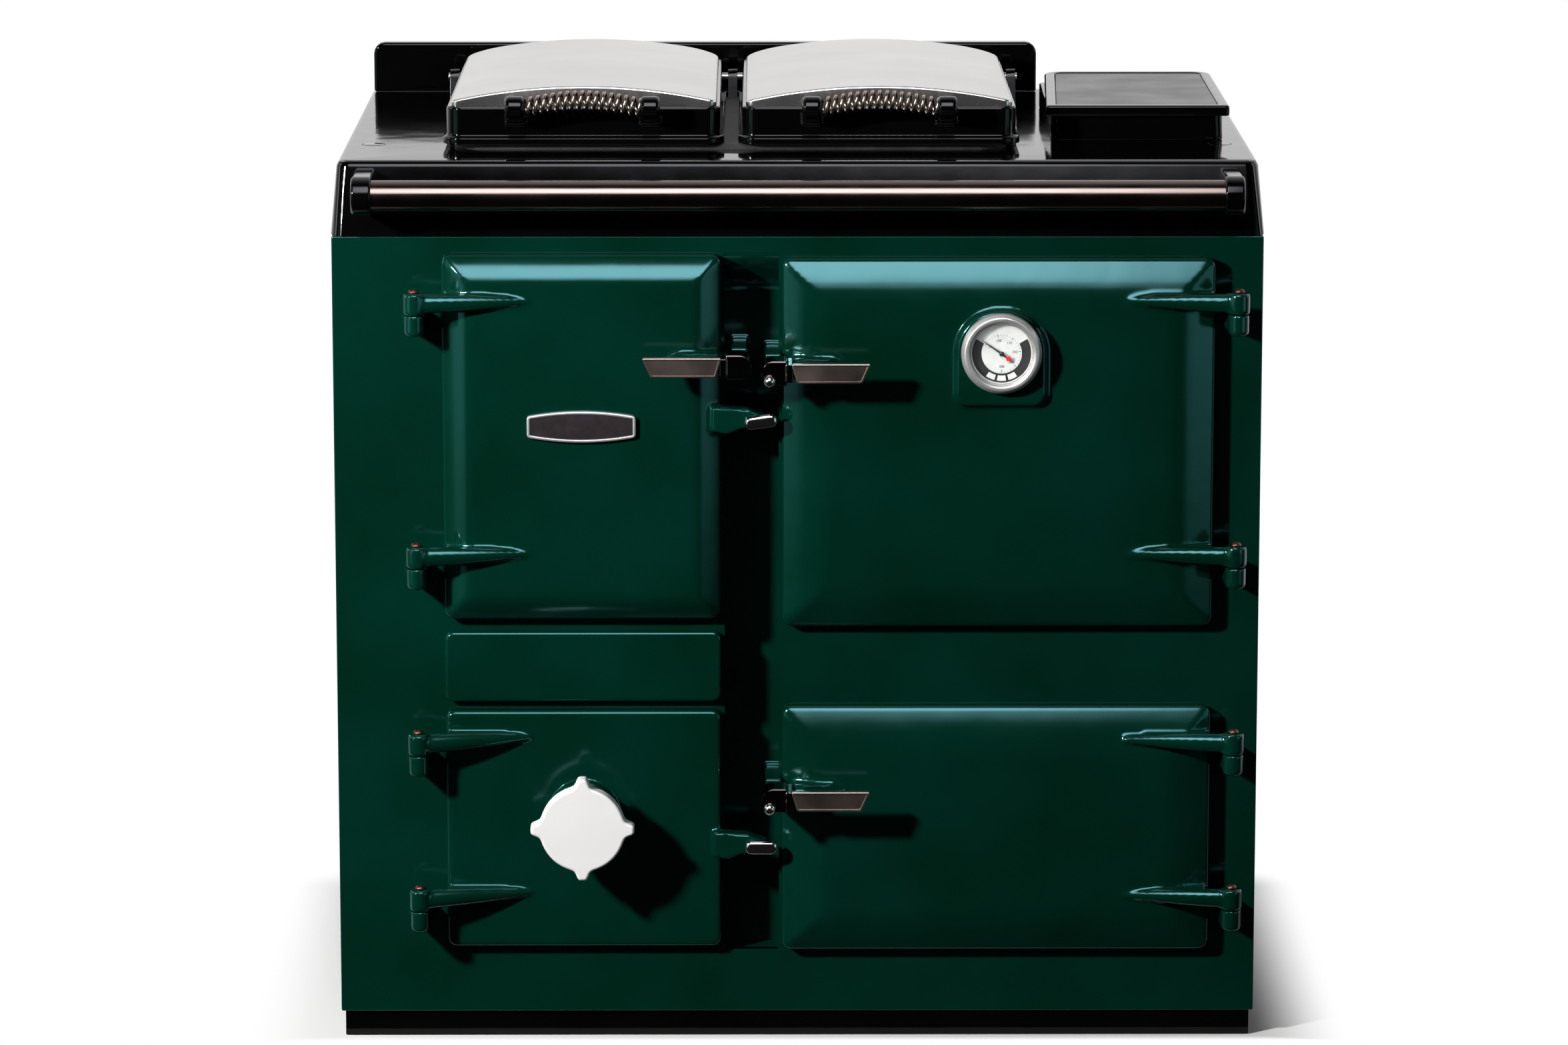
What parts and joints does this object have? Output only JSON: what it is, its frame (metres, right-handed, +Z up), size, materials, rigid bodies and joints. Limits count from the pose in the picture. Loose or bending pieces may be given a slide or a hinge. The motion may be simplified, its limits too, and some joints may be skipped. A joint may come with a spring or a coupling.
{
  "type": "cast iron range cooker",
  "caption": "Free-standing enamelled cast iron range cooker with ovens, firebox, ashpit, lidded hotplate, flue box and towel rail.",
  "frame": {"origin": "centre of the underside of the base tray, midway between the front plate's outer face and the back of the back panel", "axes": "+X to the right seen from the front, +Y towards the wall behind the cooker, +Z up"},
  "size_m": [0.939, 0.702, 0.9701],
  "materials": {
    "green_enamel": "gloss vitreous enamel, dark green",
    "black_enamel": "gloss vitreous enamel, black",
    "chrome": "polished chrome",
    "brushed_steel": "plain drawn steel",
    "zinc_steel": "zinc coated sheet steel",
    "cast_iron": "bare and machined cast iron",
    "copper": "coppered steel pin, dulled",
    "fire_brick": "fire clay, matt",
    "dial_white": "satin white paint",
    "needle_black": "satin black paint with a red tail",
    "clear_glass": "clear flat glass"
  },
  "bodies": {
    "cooker_body": {"front_plate": "green_enamel", "base_tray": "black_enamel", "side_panel_left": "green_enamel", "side_panel_right": "green_enamel", "back_panel": "zinc_steel", "top_plate": "black_enamel", "lid_hinge_rod": "brushed_steel", "plug_cap_left": "black_enamel", "plug_cap_right": "black_enamel", "upstand": "black_enamel", "rail_bracket_left": "black_enamel", "rail_bracket_right": "black_enamel", "handrail": "chrome", "hotplate": "cast_iron", "flue_box": "black_enamel", "firebox": "cast_iron", "fire_brick_left": "fire_brick", "fire_brick_right": "fire_brick", "fire_brick_back": "fire_brick", "ashpan": "zinc_steel", "main_oven": "cast_iron", "lower_oven": "cast_iron", "main_oven_shelf": "chrome", "lower_oven_shelf": "chrome", "fire_hinge_pin_lower": "copper", "fire_hinge_pin_upper": "copper", "ashpit_hinge_pin_lower": "copper", "ashpit_hinge_pin_upper": "copper", "main_oven_hinge_pin_lower": "copper", "main_oven_hinge_pin_upper": "copper", "lower_oven_hinge_pin_lower": "copper", "lower_oven_hinge_pin_upper": "copper"},
    "fire_door_leaf": {"fire_door": "green_enamel", "fire_door_baffle": "cast_iron"},
    "fire_door_lever": {"fire_door_handle": "chrome"},
    "fire_door_button": {"fire_door_catch": "chrome"},
    "main_oven_leaf": {"main_oven_door": "green_enamel", "main_oven_door_liner": "brushed_steel", "thermometer_bezel": "chrome", "thermometer_dial": "dial_white", "thermometer_glass": "clear_glass"},
    "main_oven_lever": {"main_oven_handle": "chrome"},
    "thermometer_pointer": {"thermometer_needle": "needle_black"},
    "lower_oven_leaf": {"lower_oven_door": "green_enamel", "lower_oven_door_liner": "brushed_steel"},
    "lower_oven_lever": {"lower_oven_handle": "chrome"},
    "ashpit_leaf": {"ashpit_door": "green_enamel"},
    "ashpit_button": {"ashpit_door_catch": "chrome"},
    "air_screw": {"air_spindle": "brushed_steel"},
    "air_regulator": {"air_wheel": "chrome"},
    "grate_cover": {"grate_panel": "green_enamel"},
    "grate": {"bottom_grate": "cast_iron"},
    "left_lid": {"lid_base_left": "black_enamel", "lid_dome_left": "chrome", "lid_handle_left": "chrome"},
    "right_lid": {"lid_base_right": "black_enamel", "lid_dome_right": "chrome", "lid_handle_right": "chrome"},
    "flue_lid": {"flue_cover": "black_enamel", "flue_cover_panel": "black_enamel"}
  },
  "joints": [
    {"name": "fire_door_hinge", "type": "hinge", "parent": "cooker_body", "child": "fire_door_leaf", "pos_m": [-0.384, -0.349, 0.64], "axis": [0, 0, -1], "range_deg": [0, 115]},
    {"name": "fire_door_lever_lift", "type": "hinge", "parent": "fire_door_leaf", "child": "fire_door_lever", "pos_m": [-0.09, -0.348, 0.709], "axis": [-1, 0, 0], "range_deg": [0, 40]},
    {"name": "fire_door_button_turn", "type": "hinge", "parent": "fire_door_leaf", "child": "fire_door_button", "pos_m": [-0.037, -0.335, 0.647], "axis": [0, -1, 0], "range_deg": [0, 90]},
    {"name": "main_oven_door_hinge", "type": "hinge", "parent": "cooker_body", "child": "main_oven_leaf", "pos_m": [0.441, -0.349, 0.64], "axis": [0, 0, 1], "range_deg": [0, 115]},
    {"name": "main_oven_lever_lift", "type": "hinge", "parent": "main_oven_leaf", "child": "main_oven_lever", "pos_m": [0.01, -0.348, 0.703], "axis": [-1, 0, 0], "range_deg": [0, 40]},
    {"name": "thermometer_needle_turn", "type": "hinge", "parent": "main_oven_leaf", "child": "thermometer_pointer", "pos_m": [0.204, -0.348, 0.718], "axis": [0, -1, 0], "range_deg": [0, 250]},
    {"name": "lower_oven_door_hinge", "type": "hinge", "parent": "cooker_body", "child": "lower_oven_leaf", "pos_m": [0.441, -0.349, 0.237], "axis": [0, 0, 1], "range_deg": [0, 115]},
    {"name": "lower_oven_lever_lift", "type": "hinge", "parent": "lower_oven_leaf", "child": "lower_oven_lever", "pos_m": [0.01, -0.348, 0.265], "axis": [-1, 0, 0], "range_deg": [0, 40]},
    {"name": "ashpit_door_hinge", "type": "hinge", "parent": "cooker_body", "child": "ashpit_leaf", "pos_m": [-0.384, -0.349, 0.237], "axis": [0, 0, -1], "range_deg": [0, 115]},
    {"name": "ashpit_button_turn", "type": "hinge", "parent": "ashpit_leaf", "child": "ashpit_button", "pos_m": [-0.037, -0.335, 0.207], "axis": [0, -1, 0], "range_deg": [0, 90]},
    {"name": "air_spindle_travel", "type": "slide", "parent": "ashpit_leaf", "child": "air_screw", "axis": [0, -1, 0], "range_m": [0, 0.01]},
    {"name": "air_wheel_turn", "type": "hinge", "parent": "air_screw", "child": "air_regulator", "pos_m": [-0.2175, -0.377, 0.237], "axis": [0, -1, 0], "range_deg": [0, 900]},
    {"name": "grate_panel_lift_off", "type": "slide", "parent": "cooker_body", "child": "grate_cover", "axis": [0, -1, 0], "range_m": [0, 0.04]},
    {"name": "grate_riddle", "type": "slide", "parent": "cooker_body", "child": "grate", "axis": [0, -1, 0], "range_m": [0, 0.012]},
    {"name": "left_lid_hinge", "type": "hinge", "parent": "cooker_body", "child": "left_lid", "pos_m": [-0.2175, 0.216, 0.9298], "axis": [-1, 0, 0], "range_deg": [0, 88]},
    {"name": "right_lid_hinge", "type": "hinge", "parent": "cooker_body", "child": "right_lid", "pos_m": [0.0835, 0.216, 0.9298], "axis": [-1, 0, 0], "range_deg": [0, 88]},
    {"name": "flue_cover_lift_off", "type": "slide", "parent": "cooker_body", "child": "flue_lid", "axis": [0, 0, 1], "range_m": [0, 0.06]}
  ],
  "couplings": [
    {"joint": "air_wheel_turn", "follows": "air_spindle_travel", "rad_per_m": 1570.8}
  ]
}
